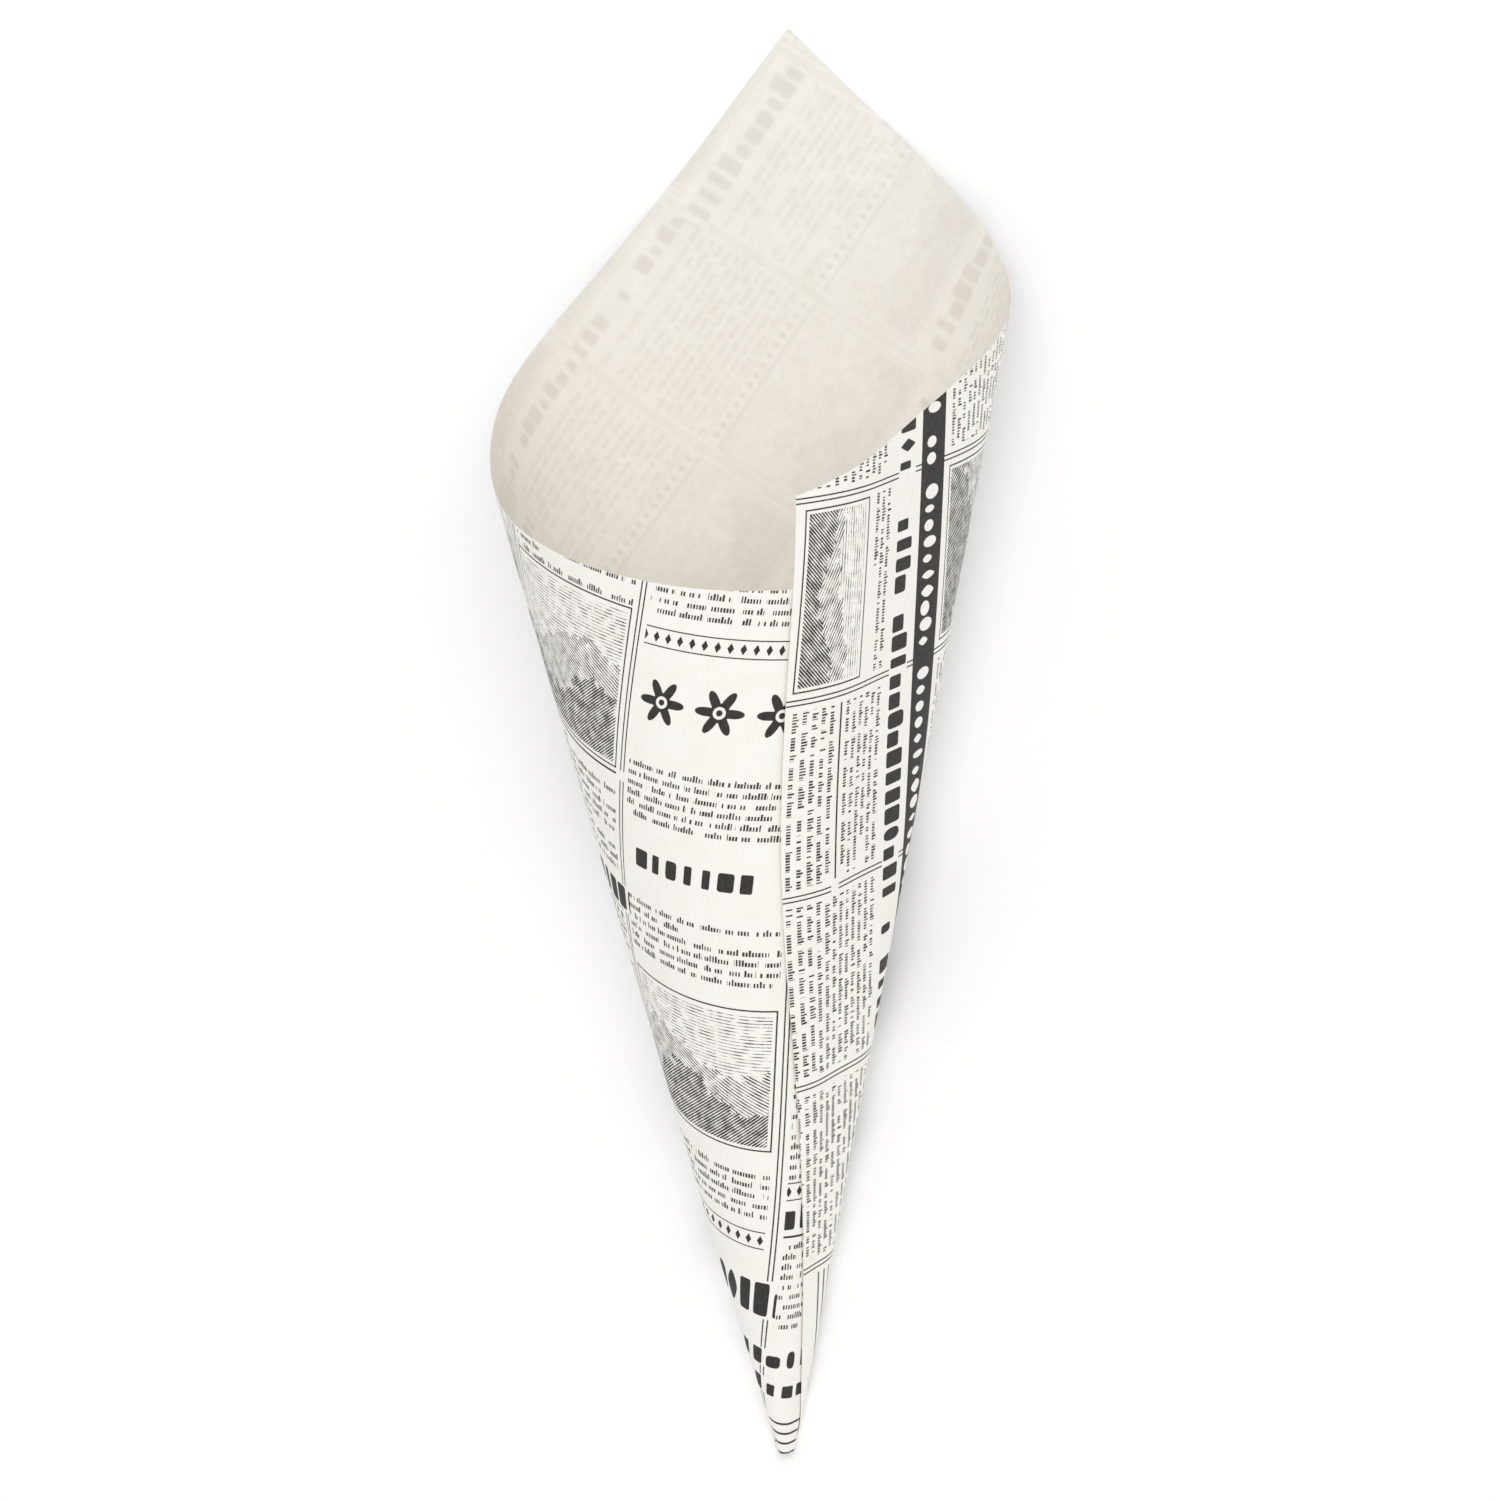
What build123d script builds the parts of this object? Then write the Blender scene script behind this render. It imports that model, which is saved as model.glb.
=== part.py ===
from build123d import *
import os
from functools import cache
from math import asin, atan2, cos, degrees, hypot, pi, radians, sin

# A paper cone: one four-sided sheet of printed paper rolled to a point, with its right edge lapped over its
# left edge and glued. It lies on its back, +Z up, with the seam above, the point towards -Y and the high
# corner of the mouth towards +Y.

# The flat sheet, measured from the spot where all the straight lines of the rolled paper would meet
seam_edge_reach = 283.0  # to the mouth corner of the edge that laps over
high_corner_reach = 417.0  # to the corner that stands up at the back of the mouth
lapped_edge_reach = 258.0  # to the mouth corner of the edge that lies under the seam
edge_miss = 7.0  # how far both of these edges pass from that spot, so that the seam winds round the point
open_point_reach = 13.0  # to the small opening at the blunt point
corner_blunt = 1.0  # cut off the sharp ends of the paper
high_corner_angle = 35.0  # degrees in the flat sheet, from the mouth corner of the edge that laps over
lap_angle = 4.5  # degrees of flat sheet that lie under the seam
paper_thickness = 0.2
lap_gap = 0.2  # glue and air between the two plies of the lap

# The rolled section: a round with a slight oval and three soft sides, one of them flat on the table
half_angle = 13.4  # degrees from the axis to the paper
oval_share = 0.02
three_sided_share = 0.07
flat_back_share = 0.055
flat_back_power = 20  # the higher, the narrower the flat spot along the back
seam_turn = 26.0  # degrees round the axis, from the top of the cone to the seam

# The paper is made of narrow strips along its straight lines, narrowest at the two seam corners of the mouth
seam_strips = 18
right_panel_strips = 3
left_panel_strips = 24
lapped_strips = 6
crowding = 1.6
strip_spans = 4
turn_step = radians(0.25)


def paper_slope(turn):
    """Angle between the axis and the paper, at a turn round the axis from the top."""
    soft_sides = oval_share * cos(2 * turn) + three_sided_share * cos(3 * turn)
    flat_back = flat_back_share * ((1 - cos(turn)) / 2) ** flat_back_power
    return radians(half_angle) * (1 + soft_sides - flat_back)


def slope_change(turn):
    """How fast that angle changes with the turn."""
    soft_sides = -2 * oval_share * sin(2 * turn) - 3 * three_sided_share * sin(3 * turn)
    towards_back = ((1 - cos(turn)) / 2) ** (flat_back_power - 1)
    flat_back = flat_back_share * flat_back_power * towards_back * sin(turn) / 2
    return radians(half_angle) * (soft_sides - flat_back)


def ruling(turn):
    """Unit vector along the paper, away from the point, with the axis along +Y."""
    slope = paper_slope(turn)
    return Vector(sin(slope) * sin(turn), cos(slope), sin(slope) * cos(turn))


def outward(turn):
    """Unit normal of the paper, away from the inside of the cone."""
    slope = paper_slope(turn)
    change = slope_change(turn)
    round_the_paper = Vector(
        cos(slope) * change * sin(turn) + sin(slope) * cos(turn),
        -sin(slope) * change,
        cos(slope) * change * cos(turn) - sin(slope) * sin(turn),
    )
    return round_the_paper.cross(ruling(turn)).normalized()


def sheet_rate(turn):
    """Angle of flat sheet taken up for each unit of turn."""
    return hypot(slope_change(turn), sin(paper_slope(turn)))


@cache
def turn_at(sheet_angle):
    """Turn round the axis that the rolled sheet has reached at an angle of the flat sheet."""
    turn = radians(seam_turn)
    left_over = sheet_angle
    while left_over > 0:
        taken = sheet_rate(turn + turn_step / 2) * turn_step
        turn += turn_step * min(left_over / taken, 1)
        left_over -= taken
    return turn


# Angles of the flat sheet at its corners, and in one full turn of the cone
turn_steps = round(2 * pi / turn_step)
full_turn = sum(sheet_rate(step * turn_step) * turn_step for step in range(turn_steps))
high_corner = radians(high_corner_angle)
lapped_edge = full_turn + radians(lap_angle)


def middle_offset(sheet_angle):
    """How far the middle of the paper stands out: it winds inwards, so that each ply clears the next."""
    return (paper_thickness + lap_gap) * (1 / 2 - sheet_angle / full_turn)


def paper_point(sheet_angle, reach, face_side):
    """A point on the outer (1) or inner (-1) face of the rolled paper."""
    turn = turn_at(sheet_angle)
    offset = middle_offset(sheet_angle) + face_side * paper_thickness / 2
    return ruling(turn) * reach + outward(turn) * offset


def mouth_cut(sheet_angle, start, end):
    """Reach of a straight cut of the flat sheet between two corners, each an angle and a reach."""
    across = start[1] * end[1] * sin(end[0] - start[0])
    return across / (start[1] * sin(sheet_angle - start[0]) + end[1] * sin(end[0] - sheet_angle))


def edge_cut(past_corner, corner_reach):
    """Reach of a seam or lapped edge, at an angle of the flat sheet past its mouth corner."""
    return edge_miss / sin(past_corner + asin(edge_miss / corner_reach))


def past_corner_at(reach, corner_reach):
    """The angle past its mouth corner at which such an edge comes down to a reach."""
    return asin(edge_miss / reach) - asin(edge_miss / corner_reach)


seam_corner = (0.0, seam_edge_reach)
top_corner = (high_corner, high_corner_reach)
lapped_corner = (lapped_edge, lapped_edge_reach)
first_angle = past_corner_at(seam_edge_reach - corner_blunt, seam_edge_reach)
seam_end = past_corner_at(open_point_reach, seam_edge_reach)
last_angle = lapped_edge + past_corner_at(open_point_reach + corner_blunt, lapped_edge_reach)


def near_reach(sheet_angle):
    """Where the paper starts along its straight line: at the seam edge, or at the open point."""
    if sheet_angle < seam_end:
        return edge_cut(sheet_angle, seam_edge_reach)
    return open_point_reach


def far_reach(sheet_angle):
    """Where the paper ends along its straight line: at the mouth, or at the lapped edge."""
    if sheet_angle < high_corner:
        return mouth_cut(sheet_angle, seam_corner, top_corner)
    if sheet_angle < lapped_edge:
        return mouth_cut(sheet_angle, top_corner, lapped_corner)
    return edge_cut(sheet_angle - lapped_edge, lapped_edge_reach)


def strip_angles():
    """The sheet angles between strips, which crowd together towards the seam corners of the mouth."""
    angles = []
    for start, end, strips, power in (
        (first_angle, seam_end, seam_strips, crowding),
        (seam_end, high_corner, right_panel_strips, 1),
        (high_corner, lapped_edge, left_panel_strips, 1),
        (lapped_edge, last_angle, lapped_strips, crowding),
    ):
        angles += [start + (end - start) * (strip / strips) ** power for strip in range(strips)]
    return angles + [last_angle]


def strip_faces(start, end):
    """The outer and inner face of one strip, and its two cut ends."""
    shares = [span / strip_spans for span in range(strip_spans + 1)]
    angles = [start + (end - start) * share for share in shares]
    curves = []
    for reach_at, face_side in ((near_reach, 1), (far_reach, 1), (far_reach, -1), (near_reach, -1)):
        points = [paper_point(angle, reach_at(angle), face_side) for angle in angles]
        curves.append(Edge.make_spline(points, parameters=shares))
    return [
        Face.make_surface_from_curves(curve, next_curve)
        for curve, next_curve in zip(curves, curves[1:] + curves[:1])
    ]


def blunt_face(sheet_angle):
    """The short cut at a sharp end of the paper."""
    lines = []
    for face_side in (1, -1):
        start = paper_point(sheet_angle, near_reach(sheet_angle), face_side)
        lines.append(Edge.make_line(start, paper_point(sheet_angle, far_reach(sheet_angle), face_side)))
    return Face.make_surface_from_curves(lines[0], lines[1])


def lay_down_angle():
    """Degrees about X that bring the lowest straight lines of the paper down onto the table."""
    lines = [ruling(step * turn_step) for step in range(turn_steps)]
    return degrees(max(atan2(-line.Z, line.Y) for line in lines))


def paper_cone():
    """The rolled sheet as one solid, laid on its back with the middle of its box over the origin."""
    angles = strip_angles()
    faces = [blunt_face(angles[0]), blunt_face(angles[-1])]
    for start, end in zip(angles, angles[1:]):
        faces += strip_faces(start, end)
    cone = Solid(Shell(faces)).rotate(Axis.X, lay_down_angle())
    box = cone.bounding_box()
    return cone.moved(Location((-box.center().X, -box.center().Y, -box.min.Z)))


os.makedirs("parts", exist_ok=True)
export_step(paper_cone(), "parts/paper_cone.step")
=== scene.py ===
import random
from itertools import pairwise
from math import asin, atan2, cos, exp, hypot, pi, radians, sin, tau

import bpy
from mathutils import Matrix, Vector


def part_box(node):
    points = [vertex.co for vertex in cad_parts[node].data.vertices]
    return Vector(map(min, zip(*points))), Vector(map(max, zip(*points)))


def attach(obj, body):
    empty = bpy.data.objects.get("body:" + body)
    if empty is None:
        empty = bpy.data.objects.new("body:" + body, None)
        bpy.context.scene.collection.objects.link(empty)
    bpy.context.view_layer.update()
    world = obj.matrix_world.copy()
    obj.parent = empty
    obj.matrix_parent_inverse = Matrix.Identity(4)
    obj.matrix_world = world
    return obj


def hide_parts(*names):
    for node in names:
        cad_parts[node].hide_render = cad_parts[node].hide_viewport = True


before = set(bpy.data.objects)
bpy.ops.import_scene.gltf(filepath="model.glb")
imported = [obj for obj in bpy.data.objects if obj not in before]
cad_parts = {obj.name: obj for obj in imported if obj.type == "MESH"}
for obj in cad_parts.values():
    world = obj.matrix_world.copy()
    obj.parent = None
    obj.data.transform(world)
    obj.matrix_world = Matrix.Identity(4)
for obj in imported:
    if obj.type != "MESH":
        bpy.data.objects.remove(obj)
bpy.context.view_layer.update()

mm = 0.001

# The flat sheet: reaches run from the spot where all straight lines of the rolled paper would meet
seam_edge_reach = 283 * mm
high_corner_reach = 417 * mm
lapped_edge_reach = 258 * mm
edge_miss = 7 * mm
open_point_reach = 13 * mm
corner_blunt = 1 * mm
point_corner = Vector((-6.6, 7.2)) * mm
high_corner_angle = radians(35)
lap_angle = radians(4.5)
paper_thickness = 0.2 * mm
lap_gap = 0.2 * mm

# The roll: how far the paper leans from the axis all round, and where its seam lies
half_angle = radians(13.4)
oval_share = 0.02
three_sided_share = 0.07
flat_back_share = 0.055
flat_back_power = 20
seam_turn = radians(26)

# What a hand leaves in the paper: soft waves round the mouth, each with its count, height and crest
soft_waves = (
    (2, 2.0 * mm, radians(-20)),
    (3, 1.5 * mm, radians(45)),
    (4, 2.4 * mm, radians(33)),
)
# One soft ridge in the front panel
ridge_height = 1.4 * mm
ridge_turn = radians(47)
ridge_width = radians(11)
# A pinch of the left-hand side towards the point
tip_pinch = 2.2 * mm
tip_pinch_reach = 60 * mm
# A seam edge that springs off the paper under it
seam_spring = 0.7 * mm
seam_spring_reach = 9 * mm
# A bow in the right-hand cut of the mouth
mouth_bow = 4 * mm
# A seam that sways one way at its middle and a little the other way above and below
middle_sway = radians(6)
middle_sway_share = 0.55
end_sway = radians(2.5)
end_sway_share = 0.4
sway_middle = 170 * mm
sway_half_wave = 110 * mm

# The mesh: steps across the sheet, from the seam edge on to the lapped edge, and along the paper
seam_steps = 70
right_panel_steps = 10
left_panel_steps = 108
lapped_steps = 24
crowding = 1.8
rows_along = 64
roll_substeps = 8
full_turn_steps = 1440
cut_edge_angle = radians(40)

# The map for baking, in shares of its width and height: the printed face along the bottom, the back face
# smaller at the top left, and the cut edges in a strip at the top right
map_left = 0.01
printed_bottom = 0.005
printed_width = 0.98
back_bottom = 0.755
back_height = 0.235
strip_left = 0.4
strip_width = 0.58
strip_bottom = 0.8
strip_height = 0.02

# The printed page, in millimetres on the flat sheet
line_pitch = 2.9
page_lines = 90
column_pitch = 54.0
gutter = 5.0
column_width = column_pitch - gutter
first_column = -45.0
columns = 8
page_seed = 4
gutter_rule_place = 0.65
gutter_rule_half = 0.21
headline_pitch = 5.4
bead_pitch = 4.6

# Heights of print, as shares of the line or block that it stands in
rule_half_share = 0.11
headline_half_share = 0.43
bead_half_share = 0.27

# A mark's outline by its power: from a lozenge over a round to a square-cut block
lozenge = 1
round_bead = 2
cut_block = 9

# Each column from the seam edge up, in lines; what is left of it is filled with stories
page_columns = {
    0: "blank 4 rule 1 rule 1 rule 1 rule 1 blank 2 headline 2 blank 1 headline 2 blank 2 text 9 rule 1 "
    "headline 3",
    1: "blank 4 rule 1 rule 1 rule 1 rule 1 blank 2 headline 2 blank 1 headline 2 blank 3 headline 4 "
    "blank 3 border 2 blank 1 text 5 blank 2 picture 14 blank 2 text 6 blank 3 headline 3 blank 2 text 6 "
    "blank 3 flowers 6 blank 2 border 2 blank 1 text 4",
    2: "blank 1 text 12 rule 1 headline 2 text 10 blank 1 picture 12 blank 1 text 12 border 2 headline 3 "
    "blank 1 text 10 rule 1 picture 16 text 6",
    3: "blank 1 text 12 blank 1 headline 3 blank 1 band 4 blank 1 picture 12",
    4: "blank 1 text 5 rule 1 text 6 blank 1 headline 3 blank 1 band 4 blank 1 text 12",
    5: "blank 1 picture 8 blank 1 text 3 blank 1 headline 3 blank 1 band 4 blank 1 picture 15",
    6: "blank 1 text 12 blank 1 headline 3 blank 1 band 4 blank 1 text 14",
}
# A story's blocks, each with its fewest and most lines
story = (
    ("border", 2, 2),
    ("text", 6, 13),
    ("blank", 1, 1),
    ("headline", 2, 3),
    ("blank", 1, 1),
    ("picture", 9, 15),
)
block_kinds = ("blank", "text", "headline", "rule", "band", "picture", "border", "flowers")
kinds_inside_gutters = ("text", "picture", "rule", "border", "flowers")
kinds_beside_gutter_rules = ("blank", "text", "picture", "border", "flowers")
kind_step = 1 / 10


def linear(hex_colour):
    """A colour written as sRGB hex, as Blender's linear red, green, blue and alpha."""
    shares = [int(hex_colour[i : i + 2], 16) / 255 for i in (1, 3, 5)]
    return (*[s / 12.92 if s <= 0.04045 else ((s + 0.055) / 1.055) ** 2.4 for s in shares], 1)


def paper_slope(turn):
    """How far the paper leans from the cone's axis at this turn."""
    soft_sides = oval_share * cos(2 * turn) + three_sided_share * cos(3 * turn)
    flat_back = flat_back_share * ((1 - cos(turn)) / 2) ** flat_back_power
    return half_angle * (1 + soft_sides - flat_back)


def slope_change(turn):
    """How fast that lean changes with the turn."""
    soft_sides = -2 * oval_share * sin(2 * turn) - 3 * three_sided_share * sin(3 * turn)
    towards_back = ((1 - cos(turn)) / 2) ** (flat_back_power - 1)
    return half_angle * (soft_sides - flat_back_share * flat_back_power * towards_back * sin(turn) / 2)


def sheet_rate(turn):
    """How much of the flat sheet's angle each step of turn takes up."""
    return hypot(slope_change(turn), sin(paper_slope(turn)))


def ruling(turn):
    """The straight line of the paper at this turn, pointing from the tip to the mouth."""
    slope = paper_slope(turn)
    return Vector((sin(slope) * sin(turn), cos(slope), sin(slope) * cos(turn)))


def outward(turn):
    """The way out of the cone, square to the paper."""
    slope = paper_slope(turn)
    change = slope_change(turn)
    round_the_paper = Vector((
        cos(slope) * change * sin(turn) + sin(slope) * cos(turn),
        -sin(slope) * change,
        cos(slope) * change * cos(turn) - sin(slope) * sin(turn),
    ))
    return round_the_paper.cross(ruling(turn)).normalized()


# Angles of the flat sheet: one full turn of the cone, and where the sheet's edges begin and end
turns_all_round = [tau * step / full_turn_steps for step in range(full_turn_steps)]
full_turn = sum(sheet_rate(turn) for turn in turns_all_round) * tau / full_turn_steps
lapped_edge_angle = full_turn + lap_angle
seam_lean = asin(edge_miss / seam_edge_reach)
lapped_lean = asin(edge_miss / lapped_edge_reach)
first_angle = asin(edge_miss / (seam_edge_reach - corner_blunt)) - seam_lean
seam_end = asin(edge_miss / open_point_reach) - seam_lean
last_angle = lapped_edge_angle + asin(edge_miss / (open_point_reach + corner_blunt)) - lapped_lean

mouth_corners = [
    (0, seam_edge_reach),
    (high_corner_angle, high_corner_reach),
    (lapped_edge_angle, lapped_edge_reach),
]
sheet_corners = [
    point_corner,
    *[Vector((cos(angle), sin(angle))) * reach for angle, reach in mouth_corners],
]


def middle_offset(sheet_angle):
    """How far out the middle of the paper lies: it winds inwards, so that each ply clears the next."""
    return (paper_thickness + lap_gap) * (1 / 2 - sheet_angle / full_turn)


def near_reach(sheet_angle):
    """Where the paper starts: along the straight seam edge, then at the open point."""
    if sheet_angle < seam_end:
        return edge_miss / sin(sheet_angle + seam_lean)
    return open_point_reach


def far_reach(sheet_angle):
    """Where it ends: along the two straight cuts of the mouth, then along the lapped edge."""
    if sheet_angle > lapped_edge_angle:
        return edge_miss / sin(sheet_angle - lapped_edge_angle + lapped_lean)
    start, end = mouth_corners[:2] if sheet_angle <= high_corner_angle else mouth_corners[1:]
    across = start[1] * end[1] * sin(end[0] - start[0])
    return across / (start[1] * sin(sheet_angle - start[0]) + end[1] * sin(end[0] - sheet_angle))


def bow(sheet_angle):
    """How far the right-hand cut of the mouth bows out, most on the way to the high corner."""
    if sheet_angle > high_corner_angle:
        return 0
    return mouth_bow * sin(pi * (sheet_angle / high_corner_angle) ** 2)


def sway(turn, reach):
    """How far the paper has slipped round the cone, which bends the seam a little to both sides."""
    waves = (reach - sway_middle) / sway_half_wave
    at_ends = end_sway * exp(-(((abs(waves) - 1) / end_sway_share) ** 2))
    at_middle = middle_sway * exp(-((waves / middle_sway_share) ** 2))
    towards_top = (1 + cos(turn)) / 2
    return (at_ends - at_middle) * towards_top**2


def hand_rolled(turn, sheet_angle, reach):
    """How far the paper stands off the true cone, fading to nothing along its back."""
    to_mouth = reach / high_corner_reach
    wave = sum(height * cos(count * (turn - crest)) for count, height, crest in soft_waves) * to_mouth
    ridge = ridge_height * exp(-((((turn % tau) - ridge_turn) / ridge_width) ** 2)) * to_mouth**2
    towards_left = (1 - sin(turn)) / 2
    pinch = tip_pinch * towards_left**2 * exp((open_point_reach - reach) / tip_pinch_reach)
    towards_back = (1 - cos(turn)) / 2
    off_the_back = (1 - towards_back**3) ** 2
    from_seam = reach * sin(sheet_angle + seam_lean) - edge_miss
    sprung = seam_spring * exp(-from_seam / seam_spring_reach) * to_mouth
    return (wave + ridge - pinch) * off_the_back + sprung


def roll_turns(sheet_angles):
    """The turn at each angle of the sheet, walked from the seam's corner."""
    turn = seam_turn
    here = 0
    turns = []
    for sheet_angle in sheet_angles:
        step = (sheet_angle - here) / roll_substeps
        for _ in range(roll_substeps):
            halfway = turn + step / 2 / sheet_rate(turn)
            turn += step / sheet_rate(halfway)
        here = sheet_angle
        turns.append(turn)
    return turns


def steps_across():
    """The sheet angles of the mesh, crowded together where the sheet runs out to its sharp corners."""
    stretches = (
        (first_angle, seam_end, seam_steps, crowding),
        (seam_end, high_corner_angle, right_panel_steps, 1),
        (high_corner_angle, lapped_edge_angle, left_panel_steps, 1),
        (lapped_edge_angle, last_angle, lapped_steps, crowding),
    )
    angles = [
        start + (end - start) * (step / steps) ** power
        for start, end, steps, power in stretches
        for step in range(steps)
    ]
    return [*angles, last_angle]


def rolled_spots(sheet_angles):
    """The points of the printed face and then of the back, in place on the table and on the flat sheet.

    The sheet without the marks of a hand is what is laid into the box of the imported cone."""
    lines = [ruling(turn) for turn in turns_all_round]
    lay_down = Matrix.Rotation(max(atan2(-line.z, line.y) for line in lines), 3, "X")
    turns = roll_turns(sheet_angles)
    spots = []
    true_spots = []
    flat_spots = []
    for side in (1, -1):
        for sheet_angle, turn in zip(sheet_angles, turns):
            near = near_reach(sheet_angle)
            far = far_reach(sheet_angle)
            bowed = bow(sheet_angle)
            face_offset = middle_offset(sheet_angle) + side * paper_thickness / 2
            for row in range(rows_along + 1):
                true_reach = near + (far - near) * row / rows_along
                reach = true_reach + bowed * row / rows_along
                slipped = turn + sway(turn, reach)
                face_and_bends = face_offset + hand_rolled(slipped, sheet_angle, reach)
                true_spots.append(lay_down @ (ruling(turn) * true_reach + outward(turn) * face_offset))
                spots.append(lay_down @ (ruling(slipped) * reach + outward(slipped) * face_and_bends))
                flat_spots.append((reach * cos(sheet_angle), reach * sin(sheet_angle)))
    low = Vector([min(spot[i] for spot in true_spots) for i in range(3)])
    high = Vector([max(spot[i] for spot in true_spots) for i in range(3)])
    cad_low, cad_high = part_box("paper_cone")
    shift = (Vector(cad_low) + Vector(cad_high) - low - high) / 2
    shift.z = cad_low[2] - low.z
    return [spot + shift for spot in spots], flat_spots


def sheet_faces(wide):
    """The faces of a closed sheet this many points wide, and the kind of each: printed, back or edge."""
    tall = rows_along + 1

    def spot_number(side, across, along):
        return (side * wide + across) * tall + along

    faces = []
    kinds = []
    for across in range(wide - 1):
        for along in range(rows_along):
            square = [(across, along), (across + 1, along), (across + 1, along + 1), (across, along + 1)]
            faces.append([spot_number(0, *corner) for corner in square])
            faces.append([spot_number(1, *corner) for corner in reversed(square)])
            kinds += ["printed", "back"]
    edge_runs = [
        [(across, 0) for across in range(wide)],
        [(wide - 1, along) for along in range(tall)],
        [(across, rows_along) for across in reversed(range(wide))],
        [(0, along) for along in reversed(range(tall))],
    ]
    for run in edge_runs:
        for here, there in pairwise(run):
            on_printed = [spot_number(0, *there), spot_number(0, *here)]
            on_back = [spot_number(1, *here), spot_number(1, *there)]
            faces.append(on_printed + on_back)
            kinds.append("edge")
    return faces, kinds


def map_sheet(mesh, kinds, flat_spots):
    """Gives every face its place on the flat sheet, in millimetres, and a place of its own for baking."""
    sheet_map = mesh.uv_layers.new(name="sheet")
    bake_map = mesh.uv_layers.new(name="OFBake")
    page_left = sheet_corners[0].x / mm
    page_scale = printed_width / (sheet_corners[2].x / mm - page_left)
    back_scale = back_height / (sheet_corners[3].y / mm)
    edge_count = kinds.count("edge")
    edge_number = 0
    for face, kind in zip(mesh.polygons, kinds):
        for corner, loop in enumerate(face.loop_indices):
            along, up = (size / mm for size in flat_spots[mesh.loops[loop].vertex_index])
            sheet_map.data[loop].uv = (along, up)
            if kind == "printed":
                place = (map_left + (along - page_left) * page_scale, printed_bottom + up * page_scale)
            elif kind == "back":
                place = (map_left + (along - page_left) * back_scale, back_bottom + up * back_scale)
            else:
                place = (
                    strip_left + strip_width * (edge_number + (corner in (0, 3))) / edge_count,
                    strip_bottom + strip_height * (corner in (2, 3)),
                )
            bake_map.data[loop].uv = place
        edge_number += kind == "edge"


def paper_sheet():
    """The rolled sheet as one closed mesh: printed face, back face and the cut edges between them."""
    sheet_angles = steps_across()
    spots, flat_spots = rolled_spots(sheet_angles)
    faces, kinds = sheet_faces(len(sheet_angles))
    mesh = bpy.data.meshes.new("paper_sheet")
    mesh.from_pydata(spots, [], faces)
    map_sheet(mesh, kinds, flat_spots)
    for face, kind in zip(mesh.polygons, kinds):
        face.use_smooth = True
        face.material_index = 0 if kind == "printed" else 1
    mesh.set_sharp_from_angle(angle=cut_edge_angle)
    return mesh


def add(tree, kind, *feeds, named=None, **settings):
    """Adds a node with its settings, feeds its inputs in order, then by name, and returns its outputs."""
    made = tree.nodes.new("ShaderNode" + kind)
    for name, value in settings.items():
        setattr(made, name, value)
    by_name = [(made.inputs[name], feed) for name, feed in (named or {}).items()]
    for socket, feed in [*zip(made.inputs, feeds), *by_name]:
        if isinstance(feed, bpy.types.NodeSocket):
            tree.links.new(feed, socket)
        elif feed is not None:
            socket.default_value = feed
    return made.outputs


def column_blocks(column, draw):
    """The blocks of one column as kind, first line and number of lines."""
    words = page_columns.get(column, "blank 1").split()
    blocks = []
    first = 0
    for kind, lines in zip(words[::2], map(int, words[1::2])):
        blocks.append((kind, first, lines))
        first += lines
    while first < page_lines:
        for kind, fewest, most in story:
            lines = draw.randint(fewest, most)
            blocks.append((kind, first, lines))
            first += lines
    return [block for block in blocks if block[1] < page_lines]


def page_blocks(tree, line, column):
    """The block at each spot of the page: red holds its kind, green its first line and blue its height.

    Every column is a ramp that is read once for each line."""
    line_share = add(tree, "Math", line, 0.5, operation="ADD")[0]
    line_share = add(tree, "Math", line_share, page_lines, operation="DIVIDE")[0]
    draw = random.Random(page_seed)
    block = (0, 0, 0)
    for number in range(columns):
        ramp = tree.nodes.new("ShaderNodeValToRGB")
        tree.links.new(line_share, ramp.inputs[0])
        stops = ramp.color_ramp.elements
        ramp.color_ramp.interpolation = "CONSTANT"
        stops.remove(stops[1])
        for kind, first, lines in column_blocks(number, draw):
            start = first / page_lines
            stop = stops.new(start) if first else stops[0]
            stop.color = (block_kinds.index(kind) * kind_step, start, lines / page_lines, 1)
        here = add(tree, "Math", column, number, 0.5, operation="COMPARE")[0]
        block = add(tree, "VectorMath", ramp.outputs[0], here, block, operation="MULTIPLY_ADD")[0]
    return add(tree, "SeparateXYZ", block)


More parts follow.
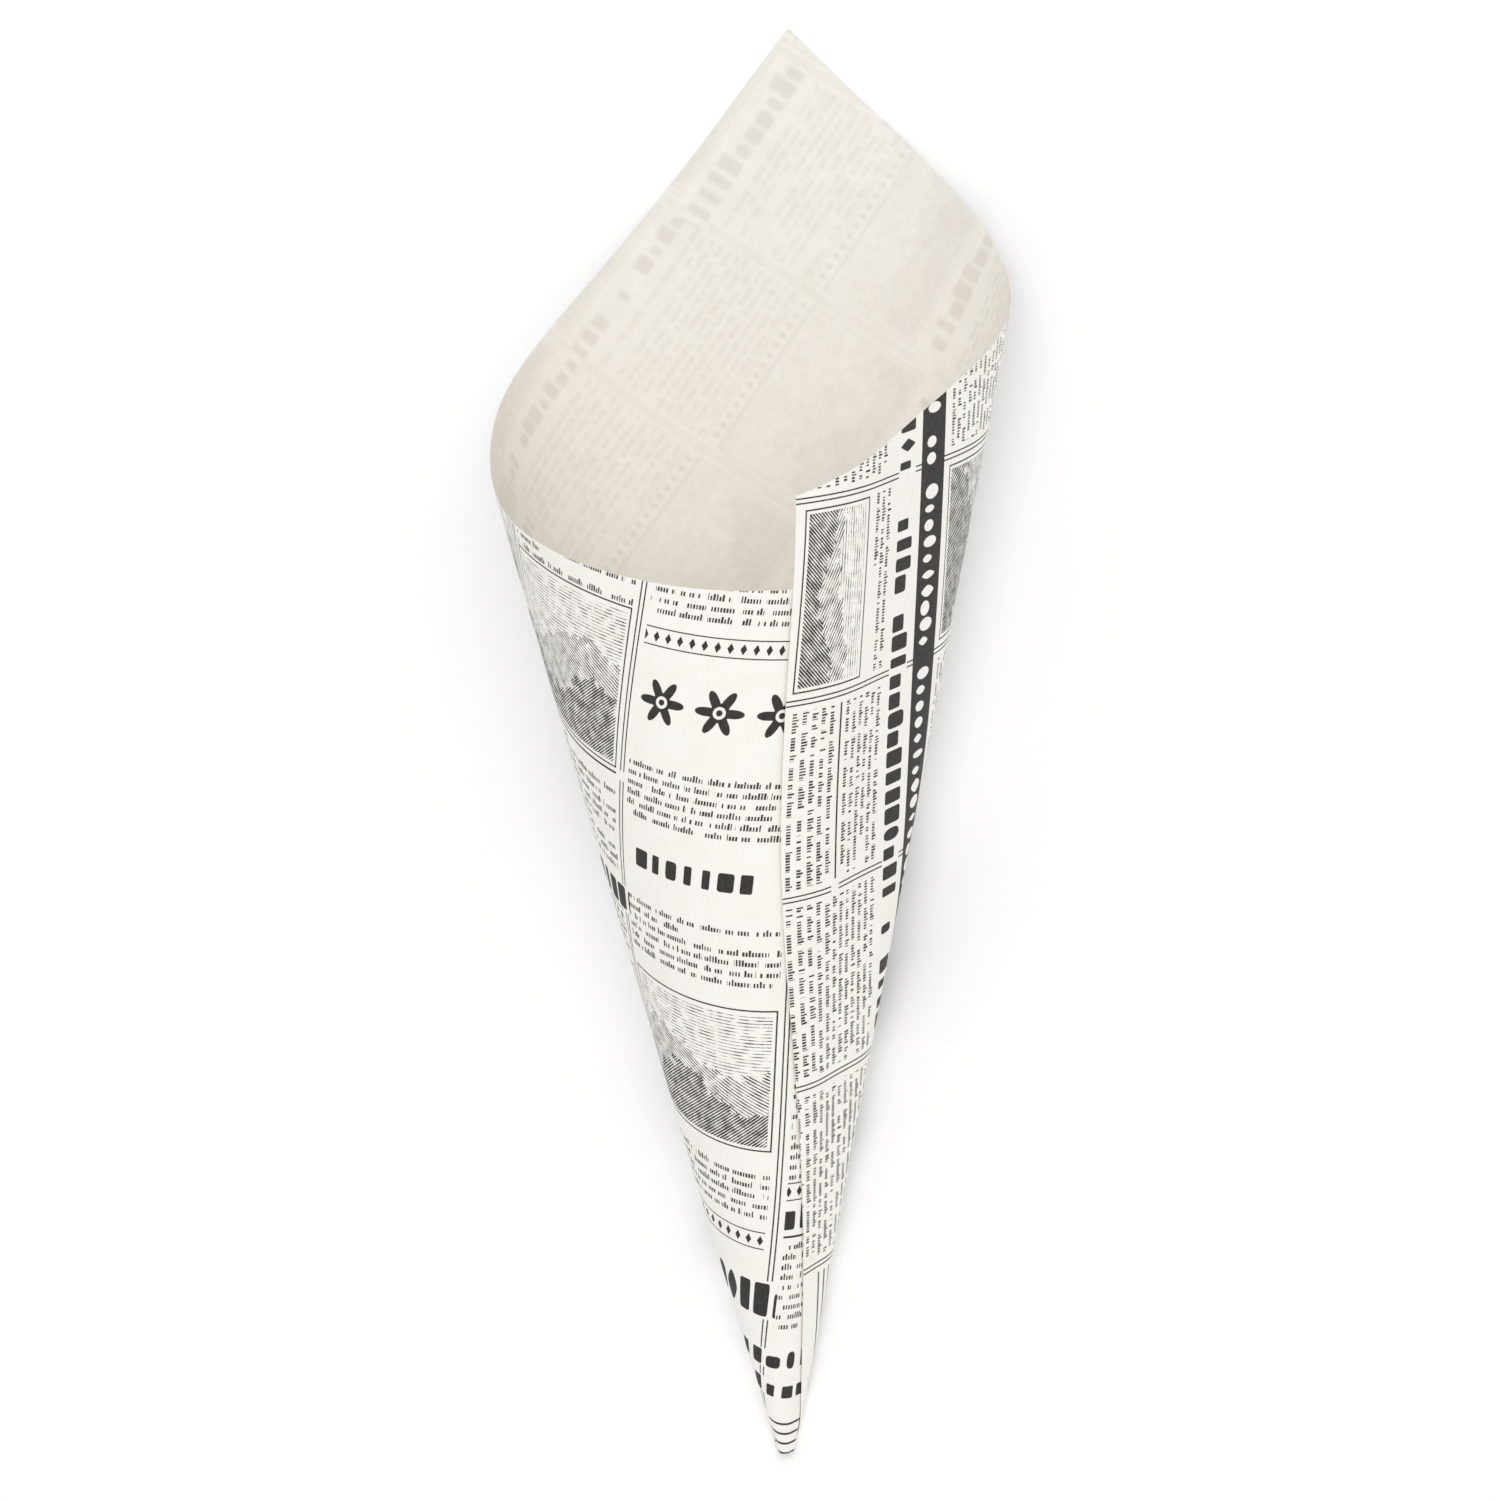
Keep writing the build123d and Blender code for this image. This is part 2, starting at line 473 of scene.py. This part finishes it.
def body_text(tree, along, line, up_line, read_share, column):
    """Lines of small type as unreadable ticks in words, with short last lines of paragraphs."""
    tick_pitch = 0.8
    word_pitch = 7.6
    thin_half_share = 0.23
    bolder_share = 0.16
    tall_from = 0.78
    low_middle_share = 0.42
    low_half_share = 0.21
    taller_share = 0.1
    missing_share = 0.1
    shortest_word_share = 0.68
    longest_word_share = 0.93
    short_line_share = 0.16
    shortest_line_share = 0.2
    word_seed = 7
    line_seed = 3

    tick_place = add(tree, "Math", along, tick_pitch, operation="DIVIDE")[0]
    tick = add(tree, "Math", tick_place, operation="FLOOR")[0]
    across_tick = add(tree, "Math", tick_place, operation="FRACT")[0]
    tick_and_line = add(tree, "CombineXYZ", tick, line)[0]
    tick_noise = add(tree, "TexWhiteNoise", tick_and_line, noise_dimensions="2D")["Color"]
    chance = add(tree, "SeparateColor", tick_noise)
    half_width = add(tree, "Math", chance[0], bolder_share, thin_half_share, operation="MULTIPLY_ADD")[0]
    stroke = add(tree, "Math", across_tick, 0.5, half_width, operation="COMPARE")[0]
    tall = add(tree, "Math", chance[1], tall_from, operation="GREATER_THAN")[0]
    middle = add(tree, "Math", tall, taller_share, low_middle_share, operation="MULTIPLY_ADD")[0]
    half_height = add(tree, "Math", tall, taller_share, low_half_share, operation="MULTIPLY_ADD")[0]
    standing = add(tree, "Math", up_line, middle, half_height, operation="COMPARE")[0]
    inked = add(tree, "Math", chance[2], missing_share, operation="GREATER_THAN")[0]

    line_chance = add(tree, "TexWhiteNoise", None, line, noise_dimensions="1D")["Value"]
    word_place = add(tree, "Math", along, 1 / word_pitch, line_chance, operation="MULTIPLY_ADD")[0]
    word = add(tree, "Math", word_place, operation="FLOOR")[0]
    word_and_line = add(tree, "CombineXYZ", word, line, word_seed)[0]
    word_chance = add(tree, "TexWhiteNoise", word_and_line, noise_dimensions="3D")["Value"]
    word_end = add(tree, "MapRange", word_chance, 0, 1, shortest_word_share, longest_word_share)[0]
    across_word = add(tree, "Math", word_place, operation="FRACT")[0]
    in_word = add(tree, "Math", across_word, word_end, operation="LESS_THAN")[0]

    column_and_line = add(tree, "CombineXYZ", column, line, line_seed)[0]
    ending_chance = add(tree, "TexWhiteNoise", column_and_line, noise_dimensions="3D")["Value"]
    line_end = add(tree, "MapRange", ending_chance, 0, short_line_share, shortest_line_share, 1)[0]
    in_line = add(tree, "Math", read_share, line_end, operation="LESS_THAN")[0]
    ink = stroke
    for part in (standing, inked, in_word, in_line):
        ink = add(tree, "Math", ink, part, operation="MULTIPLY")[0]
    return ink


def headline_marks(tree, along, up_block, block_start, mark_pitch, half_height, squarest):
    """A row of bold bars, blocks, rounds and lozenges, tall and low, with gaps between its groups."""
    low_from = 0.62
    lowered_share = 0.28
    narrowest_half_share = 0.2
    widest_half_share = 0.45
    rounded_share = 0.4
    missing_share = 0.15
    mark_seed = 11
    lowered = lowered_share * half_height

    place = add(tree, "Math", along, mark_pitch, operation="DIVIDE")[0]
    mark = add(tree, "Math", place, operation="FLOOR")[0]
    across_mark = add(tree, "Math", place, operation="FRACT")[0]
    mark_and_block = add(tree, "CombineXYZ", mark, block_start, mark_seed)[0]
    mark_noise = add(tree, "TexWhiteNoise", mark_and_block, noise_dimensions="3D")["Color"]
    chance = add(tree, "SeparateColor", mark_noise)
    low = add(tree, "Math", chance[2], low_from, operation="GREATER_THAN")[0]
    tall = add(tree, "Math", low, -lowered, half_height, operation="MULTIPLY_ADD")[0]
    middle = add(tree, "Math", low, -lowered, 0.5, operation="MULTIPLY_ADD")[0]
    wide = add(tree, "MapRange", chance[0], 0, 1, narrowest_half_share, widest_half_share)[0]
    squareness = add(tree, "MapRange", chance[1], 0, rounded_share, lozenge, squarest)[0]
    from_middle = 0
    for spot, centre, half_size in ((across_mark, 0.5, wide), (up_block, middle, tall)):
        away = add(tree, "Math", spot, centre, operation="SUBTRACT")[0]
        away = add(tree, "Math", away, operation="ABSOLUTE")[0]
        share = add(tree, "Math", away, half_size, operation="DIVIDE")[0]
        share = add(tree, "Math", share, squareness, operation="POWER")[0]
        from_middle = add(tree, "Math", share, from_middle, operation="ADD")[0]
    shape = add(tree, "Math", from_middle, 1, operation="LESS_THAN")[0]
    inked = add(tree, "Math", chance[2], missing_share, operation="GREATER_THAN")[0]
    return add(tree, "Math", shape, inked, operation="MULTIPLY")[0]


def border_strip(tree, along, up_block):
    """A printer's border: a row of small lozenges between two rules."""
    lozenge_pitch = 3.4
    lozenge_half_share = 0.26
    rule_place_share = 0.42
    rule_half = 0.03

    place = add(tree, "Math", along, lozenge_pitch, operation="DIVIDE")[0]
    place = add(tree, "Math", place, operation="FRACT")[0]
    across = add(tree, "Math", place, 0.5, operation="SUBTRACT")[0]
    across = add(tree, "Math", across, operation="ABSOLUTE")[0]
    up = add(tree, "Math", up_block, 0.5, operation="SUBTRACT")[0]
    up = add(tree, "Math", up, operation="ABSOLUTE")[0]
    from_middle = add(tree, "Math", across, up, operation="ADD")[0]
    lozenges = add(tree, "Math", from_middle, lozenge_half_share, operation="LESS_THAN")[0]
    rules = add(tree, "Math", up, rule_place_share, rule_half, operation="COMPARE")[0]
    return add(tree, "Math", lozenges, rules, operation="MAXIMUM")[0]


def flower_row(tree, across_share, up_block, block_height):
    """A printer's row of small flowers, with petals round a pale eye."""
    flowers = 3
    petals = 6
    petal_length = 6.6
    petal_depth_share = 0.6
    eye = 1.7
    flower_pitch = column_width / flowers
    petal_swell = petal_length * petal_depth_share / 2
    petal_middle = petal_length * (1 - petal_depth_share / 2)

    place = add(tree, "Math", across_share, flowers, operation="MULTIPLY")[0]
    place = add(tree, "Math", place, operation="FRACT")[0]
    across = add(tree, "Math", place, flower_pitch, -flower_pitch / 2, operation="MULTIPLY_ADD")[0]
    tall = add(tree, "Math", block_height, line_pitch, operation="MULTIPLY")[0]
    up = add(tree, "Math", up_block, 0.5, operation="SUBTRACT")[0]
    up = add(tree, "Math", up, tall, operation="MULTIPLY")[0]
    from_middle = add(tree, "CombineXYZ", across, up)[0]
    out = add(tree, "VectorMath", from_middle, operation="LENGTH")["Value"]
    turn = add(tree, "Math", up, across, operation="ARCTAN2")[0]
    petal = add(tree, "Math", turn, petals, operation="MULTIPLY")[0]
    petal = add(tree, "Math", petal, operation="COSINE")[0]
    petal = add(tree, "Math", petal, petal_swell, petal_middle, operation="MULTIPLY_ADD")[0]
    ink = add(tree, "Math", out, petal, operation="LESS_THAN")[0]
    outside_eye = add(tree, "Math", out, eye, operation="GREATER_THAN")[0]
    ink = add(tree, "Math", ink, outside_eye, operation="MULTIPLY")[0]
    dot = add(tree, "Math", out, eye / 2, operation="LESS_THAN")[0]
    return add(tree, "Math", ink, dot, operation="MAXIMUM")[0]


def engraving(tree, along, up, across_share, up_block, block_height, block_start):
    """A framed picture of two ranges of hills under a pale sky, cut in an engraver's hatched lines."""
    frame_line = 0.45
    frame_margin = 1.3
    hatch_pitch = 0.95
    lump_size = 20 / 7
    lump_detail = 3
    sky_ink_share = 0.16
    ruggedness = 0.22
    unevenness = 0.9
    # The far range and the near one: level, swell, waves, share of ink and slope of the hatching
    ranges = ((0.6, 0.1, 5.2, 0.36, -0.5), (0.36, 0.12, 7.4, 0.62, 0.9))

    from_side = add(tree, "Math", across_share, 0.5, operation="SUBTRACT")[0]
    from_side = add(tree, "Math", from_side, operation="ABSOLUTE")[0]
    from_side = add(tree, "Math", from_side, -column_width, column_width / 2, operation="MULTIPLY_ADD")[0]
    from_top = add(tree, "Math", up_block, 0.5, operation="SUBTRACT")[0]
    from_top = add(tree, "Math", from_top, operation="ABSOLUTE")[0]
    from_top = add(tree, "Math", 0.5, from_top, operation="SUBTRACT")[0]
    tall = add(tree, "Math", block_height, line_pitch, operation="MULTIPLY")[0]
    from_top = add(tree, "Math", from_top, tall, operation="MULTIPLY")[0]
    from_edge = add(tree, "Math", from_side, from_top, operation="MINIMUM")[0]
    border = add(tree, "Math", from_edge, frame_line, operation="LESS_THAN")[0]
    inside = add(tree, "Math", from_edge, frame_margin, operation="GREATER_THAN")[0]

    spot = add(tree, "CombineXYZ", along, up)[0]
    lumps = add(tree, "TexNoise", spot, None, 1 / lump_size, lump_detail, noise_dimensions="2D")[0]
    tone = sky_ink_share
    slope = 0.0
    for level, swell, waves, ink_share, hatch_slope in ranges:
        phase = add(tree, "Math", across_share, waves, block_start, operation="MULTIPLY_ADD")[0]
        ridge = add(tree, "Math", phase, operation="SINE")[0]
        ridge = add(tree, "Math", ridge, swell, level, operation="MULTIPLY_ADD")[0]
        ridge = add(tree, "Math", lumps, ruggedness, ridge, operation="MULTIPLY_ADD")[0]
        ridge = add(tree, "Math", ridge, ruggedness / 2, operation="SUBTRACT")[0]
        below = add(tree, "Math", up_block, ridge, operation="LESS_THAN")[0]
        tone = add(tree, "Mix", below, None, tone, ink_share, data_type="FLOAT")[0]
        slope = add(tree, "Mix", below, None, slope, hatch_slope, data_type="FLOAT")[0]
    tone = add(tree, "Math", lumps, unevenness, tone, operation="MULTIPLY_ADD")[0]
    tone = add(tree, "Math", tone, unevenness / 2, operation="SUBTRACT")[0]
    half_tone = add(tree, "Math", tone, 0.5, operation="MULTIPLY")[0]
    hatch_place = add(tree, "Math", along, slope, up, operation="MULTIPLY_ADD")[0]
    hatch_place = add(tree, "Math", hatch_place, hatch_pitch, operation="DIVIDE")[0]
    hatch_place = add(tree, "Math", hatch_place, operation="FRACT")[0]
    hatch = add(tree, "Math", hatch_place, 0.5, half_tone, operation="COMPARE")[0]
    drawn = add(tree, "Math", hatch, inside, operation="MULTIPLY")[0]
    return add(tree, "Math", drawn, border, operation="MAXIMUM")[0]


def newspaper_page():
    """The print as a group whose one output is the share of ink at each spot of the flat sheet.

    Its one input is how far the ink has spread through the fibres, in millimetres: every ray reads the
    page a little to one side of its own spot, which softens the edges."""
    tree = bpy.data.node_groups.new("newspaper_page", "ShaderNodeTree")
    tree.interface.new_socket("Spread", in_out="INPUT", socket_type="NodeSocketFloat")
    tree.interface.new_socket("Ink", in_out="OUTPUT", socket_type="NodeSocketFloat")
    spread = tree.nodes.new("NodeGroupInput").outputs[0]
    spot = add(tree, "UVMap", uv_map="sheet")[0]
    aside = add(tree, "TexWhiteNoise", spot, noise_dimensions="2D")["Color"]
    aside = add(tree, "VectorMath", aside, (0.5, 0.5, 0.5), operation="SUBTRACT")[0]
    aside = add(tree, "VectorMath", aside, operation="SCALE", named={"Scale": spread})[0]
    spot = add(tree, "VectorMath", spot, aside, operation="ADD")[0]
    along, up = add(tree, "SeparateXYZ", spot)[:2]

    line_place = add(tree, "Math", up, line_pitch, operation="DIVIDE")[0]
    line = add(tree, "Math", line_place, operation="FLOOR")[0]
    up_line = add(tree, "Math", line_place, operation="FRACT")[0]
    column_place = add(tree, "Math", along, first_column, operation="SUBTRACT")[0]
    column_place = add(tree, "Math", column_place, column_pitch, operation="DIVIDE")[0]
    column = add(tree, "Math", column_place, operation="FLOOR")[0]
    across_column = add(tree, "Math", column_place, operation="FRACT")[0]
    across_share = add(tree, "MapRange", across_column, gutter / column_pitch, 1, 0, 1, clamp=False)[0]
    in_column = add(tree, "Math", across_share, 0, operation="GREATER_THAN")[0]
    read_share = add(tree, "Math", 1, across_share, operation="SUBTRACT")[0]

    block_kind, block_start, block_height = page_blocks(tree, line, column)
    block_start = add(tree, "Math", block_start, page_lines, operation="MULTIPLY")[0]
    block_height = add(tree, "Math", block_height, page_lines, operation="MULTIPLY")[0]
    up_block = add(tree, "Math", line_place, block_start, operation="SUBTRACT")[0]
    up_block = add(tree, "Math", up_block, block_height, operation="DIVIDE")[0]

    in_block = (tree, along, up_block, block_start)
    pale_beads = headline_marks(*in_block, bead_pitch, bead_half_share, round_bead)
    prints = {
        "blank": 0,
        "text": body_text(tree, along, line, up_line, read_share, column),
        "headline": headline_marks(*in_block, headline_pitch, headline_half_share, cut_block),
        "rule": add(tree, "Math", up_line, 0.5, rule_half_share, operation="COMPARE")[0],
        "band": add(tree, "Math", 1, pale_beads, operation="SUBTRACT")[0],
        "picture": engraving(tree, along, up, across_share, up_block, block_height, block_start),
        "border": border_strip(tree, along, up_block),
        "flowers": flower_row(tree, across_share, up_block, block_height),
    }
    gutter_middle = gutter / 2 / column_pitch
    rule_place = gutter_rule_place / column_pitch
    rule_half = gutter_rule_half / column_pitch
    from_gutter = add(tree, "Math", across_column, gutter_middle, operation="SUBTRACT")[0]
    from_gutter = add(tree, "Math", from_gutter, operation="ABSOLUTE")[0]
    gutter_rules = add(tree, "Math", from_gutter, rule_place, rule_half, operation="COMPARE")[0]
    ink = 0
    for number, kind in enumerate(block_kinds):
        marks = prints[kind]
        if kind in kinds_inside_gutters:
            marks = add(tree, "Math", marks, in_column, operation="MULTIPLY")[0]
        if kind in kinds_beside_gutter_rules:
            marks = add(tree, "Math", marks, gutter_rules, operation="MAXIMUM")[0]
        chosen = add(tree, "Math", block_kind, number * kind_step, kind_step / 2, operation="COMPARE")[0]
        ink = add(tree, "Math", marks, chosen, ink, operation="MULTIPLY_ADD")[0]
    output = tree.nodes.new("NodeGroupOutput")
    tree.links.new(ink, output.inputs[0])
    return tree


def newsprint(name, page, paper_hex, shade_hex, ink_hex, ink_cover, ink_spread):
    """Uncoated newsprint, pressed and dull: pale warm stock with cloudy fibre, and ink sunk into it."""
    # In millimetres; a single fibre is too fine to show, so fibres are drawn in flocks of this size
    cloud_size = 9.0
    fibre_size = 0.7
    fibre_stretch = (1, 0.35, 1)
    cloud_detail = 4
    fibre_detail = 3
    noise_roughness = 0.6
    thin_fibre = 0.3
    thick_fibre = 0.7
    worn_fibre = 0.75
    worn_ink_share = 0.975
    fibre_depth = 0.05 * mm
    fibre_relief = 0.25
    bare_roughness = 0.84
    ink_roughness = 0.66
    paper_ior = 1.4

    material = bpy.data.materials.new(name)
    material.use_nodes = True
    tree = material.node_tree
    shader = tree.nodes["Principled BSDF"]
    place = add(tree, "UVMap", uv_map="sheet")[0]
    cloud_look = (1 / cloud_size, cloud_detail, noise_roughness)
    clouds = add(tree, "TexNoise", place, None, *cloud_look, noise_dimensions="2D")[0]
    stretched = add(tree, "Mapping", place, named={"Scale": fibre_stretch})[0]
    fibre_look = (1 / fibre_size, fibre_detail, noise_roughness)
    fibres = add(tree, "TexNoise", stretched, None, *fibre_look, noise_dimensions="2D")[0]
    shade = add(tree, "Math", clouds, 0.5, operation="MULTIPLY")[0]
    shade = add(tree, "Math", fibres, 0.5, shade, operation="MULTIPLY_ADD")[0]
    shade = add(tree, "MapRange", shade, thin_fibre, thick_fibre, 0, 1)[0]
    # A colour Mix has its share at input 0, its two colours at inputs 6 and 7, and its result at output 2
    stock_colours = {0: shade, 6: linear(paper_hex), 7: linear(shade_hex)}
    stock = add(tree, "Mix", data_type="RGBA", named=stock_colours)[2]

    group = tree.nodes.new("ShaderNodeGroup")
    group.node_tree = page
    group.inputs[0].default_value = ink_spread
    worn_cover = ink_cover * worn_ink_share
    cover = add(tree, "MapRange", fibres, thin_fibre, worn_fibre, ink_cover, worn_cover)[0]
    inked = add(tree, "Math", group.outputs[0], cover, operation="MULTIPLY")[0]
    colour = add(tree, "Mix", data_type="RGBA", named={0: inked, 6: stock, 7: linear(ink_hex)})[2]
    tree.links.new(colour, shader.inputs["Base Color"])
    # Ink fills the fibres, so print is a little smoother than bare paper
    roughness = add(tree, "MapRange", inked, 0, 1, bare_roughness, ink_roughness)[0]
    tree.links.new(roughness, shader.inputs["Roughness"])
    relief = {"Strength": fibre_relief, "Distance": fibre_depth, "Height": fibres}
    bump = add(tree, "Bump", named=relief)[0]
    tree.links.new(bump, shader.inputs["Normal"])
    shader.inputs["IOR"].default_value = paper_ior
    return material


def paper_cone():
    """The printed sheet, rolled and lapped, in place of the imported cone."""
    mesh = paper_sheet()
    page = newspaper_page()
    # Warm white stock under black ink, whose edges have crept a little into the fibres
    printed_face = newsprint(
        "newsprint_printed_face",
        page,
        paper_hex="#F8F6F1",
        shade_hex="#F2EFE8",
        ink_hex="#1F1B16",
        ink_cover=0.99,
        ink_spread=0.15,
    )
    # The same stock painted a shade darker and warmer, as painted shade and warm bounce light inside the
    # cone, with the print showing through as a faint grey blur
    back_face_in_painted_shade = newsprint(
        "newsprint_back_face",
        page,
        # Paper colours darker and warmer than the printed face's: painted shade for the inside of the
        # cone
        paper_hex="#F3EFE8",
        shade_hex="#ECE7DE",
        ink_hex="#A49A90",
        ink_cover=0.22,
        ink_spread=1.4,
    )
    mesh.materials.append(printed_face)
    mesh.materials.append(back_face_in_painted_shade)
    cone = bpy.data.objects.new("paper_cone_sheet", mesh)
    bpy.context.collection.objects.link(cone)
    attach(cone, "root")
    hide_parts("paper_cone")
    round_the_sheet = pairwise([*sheet_corners, sheet_corners[0]])
    flat_area = sum(a.x * b.y - b.x * a.y for a, b in round_the_sheet) / 2


def white_floor():
    """A wide white floor just under the cone, dull as a paper backdrop."""
    half_width = 3.0
    below_paper = 0.1 * mm
    backdrop_roughness = 0.9

    sides = [(-1, -1), (1, -1), (1, 1), (-1, 1)]
    corners = [(x * half_width, y * half_width, -below_paper) for x, y in sides]
    mesh = bpy.data.meshes.new("floor")
    mesh.from_pydata(corners, [], [(0, 1, 2, 3)])
    material = bpy.data.materials.new("white_floor")
    material.use_nodes = True
    shader = material.node_tree.nodes["Principled BSDF"]
    shader.inputs["Base Color"].default_value = linear("#FFFFFF")
    shader.inputs["Roughness"].default_value = backdrop_roughness
    mesh.materials.append(material)
    floor = bpy.data.objects.new("floor", mesh)
    bpy.context.collection.objects.link(floor)


def studio_light():
    """One large soft lamp above the right-hand side, and even light all round."""
    lamp_place = Vector((0.3, 0.1, 1.6))
    lamp_width = 1.1
    lamp_watts = 8
    even_strength = 0.78

    lamp_data = bpy.data.lights.new("soft_lamp", "AREA")
    lamp_data.shape = "DISK"
    lamp_data.size = lamp_width
    lamp_data.energy = lamp_watts
    lamp = bpy.data.objects.new("soft_lamp", lamp_data)
    lamp.location = lamp_place
    lamp.rotation_euler = (-lamp_place).to_track_quat("-Z", "Y").to_euler()
    bpy.context.collection.objects.link(lamp)

    world = bpy.data.worlds.new("even_light")
    world.use_nodes = True
    background = world.node_tree.nodes["Background"]
    background.inputs["Color"].default_value = linear("#FFFFFF")
    background.inputs["Strength"].default_value = even_strength
    bpy.context.scene.world = world
    bpy.context.scene.view_settings.view_transform = "Standard"


def camera():
    """Looks steeply down on the cone from its right, with the tip at the bottom of the picture."""
    place = Vector((295.7, -187.1, 1218.0)) * mm
    aim = Vector((-0.3, -12.4, 40.0)) * mm
    picture_up = Vector((0.0067, 1, 0))
    sensor_width = 36
    lens_length = 108

    camera_data = bpy.data.cameras.new("camera")
    camera_data.sensor_width = sensor_width
    camera_data.lens = lens_length
    eye = bpy.data.objects.new("camera", camera_data)
    back = (place - aim).normalized()
    right = picture_up.cross(back).normalized()
    turned = Matrix((right, back.cross(right), back)).transposed()
    eye.matrix_world = Matrix.Translation(place) @ turned.to_4x4()
    bpy.context.collection.objects.link(eye)
    bpy.context.scene.camera = eye


paper_cone()
white_floor()
studio_light()
camera()
